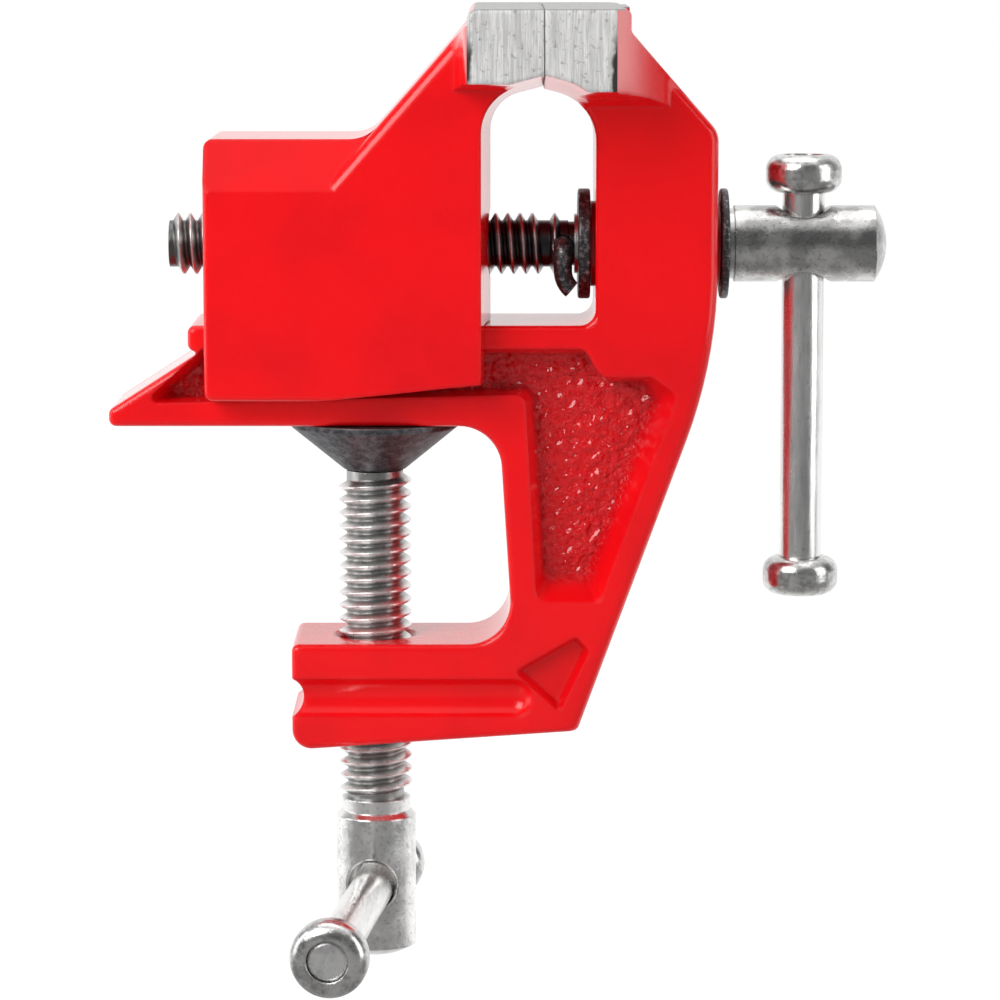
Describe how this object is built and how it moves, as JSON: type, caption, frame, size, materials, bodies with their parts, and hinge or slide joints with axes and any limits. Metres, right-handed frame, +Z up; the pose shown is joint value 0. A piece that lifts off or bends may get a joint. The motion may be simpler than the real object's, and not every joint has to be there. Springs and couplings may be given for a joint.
{
  "type": "table vise",
  "caption": "Clamp-on table vise: cast C-shaped frame with fixed jaw, sliding jaw on a lead screw, and a clamp screw with a swivelling pad below.",
  "frame": {"origin": "on the clamp screw's axis, in the plane of the flange's underside, which rests on the table top", "axes": "+Z up along the clamp screw, +X along the lead screw from the slide's free end to its handle, Y across the jaws"},
  "size_m": [0.1267, 0.0855, 0.1579],
  "materials": {
    "red_paint": "gloss",
    "dark_screw_steel": "satin",
    "plated_screw_steel": "satin",
    "black_steel": "satin",
    "bar_steel": "polished",
    "knob_steel": "satin",
    "pad_steel": "matte"
  },
  "bodies": {
    "frame": {"frame_casting": "red_paint"},
    "lead_screw": {"lead_screw": "dark_screw_steel", "inner_washer": "black_steel", "outer_washer": "black_steel", "split_pin": "black_steel"},
    "jaw": {"moving_jaw": "red_paint"},
    "lead_bar": {"lead_bar": "bar_steel", "lead_bar_upper_knob": "knob_steel", "lead_bar_lower_knob": "knob_steel"},
    "pad": {"clamp_pad": "pad_steel"},
    "clamp_screw": {"clamp_screw": "plated_screw_steel"},
    "clamp_bar": {"clamp_bar": "bar_steel", "clamp_bar_near_knob": "knob_steel", "clamp_bar_far_knob": "knob_steel"}
  },
  "joints": [
    {"name": "lead_screw_turn", "type": "hinge", "parent": "frame", "child": "lead_screw", "pos_m": [0.0703, 0, 0.0289], "axis": [1, 0, 0], "range_deg": [0, 6840]},
    {"name": "jaw_slide", "type": "slide", "parent": "frame", "child": "jaw", "axis": [-1, 0, 0], "range_m": [0, 0.038]},
    {"name": "lead_bar_slide", "type": "slide", "parent": "lead_screw", "child": "lead_bar", "axis": [0, 0, 1], "range_m": [-0.002, 0.0454]},
    {"name": "pad_slide", "type": "slide", "parent": "frame", "child": "pad", "axis": [0, 0, -1], "range_m": [0, 0.0264]},
    {"name": "clamp_screw_turn", "type": "hinge", "parent": "pad", "child": "clamp_screw", "pos_m": [0, 0, -0.0775], "axis": [0, 0, -1], "range_deg": [0, 4320]},
    {"name": "clamp_bar_slide", "type": "slide", "parent": "clamp_screw", "child": "clamp_bar", "axis": [-0.1097, -0.994, 0], "range_m": [-0.0425, 0.0042]}
  ],
  "couplings": [
    {"joint": "jaw_slide", "follows": "lead_screw_turn", "m_per_rad": 0.00031831},
    {"joint": "pad_slide", "follows": "clamp_screw_turn", "m_per_rad": 0.00035014}
  ]
}
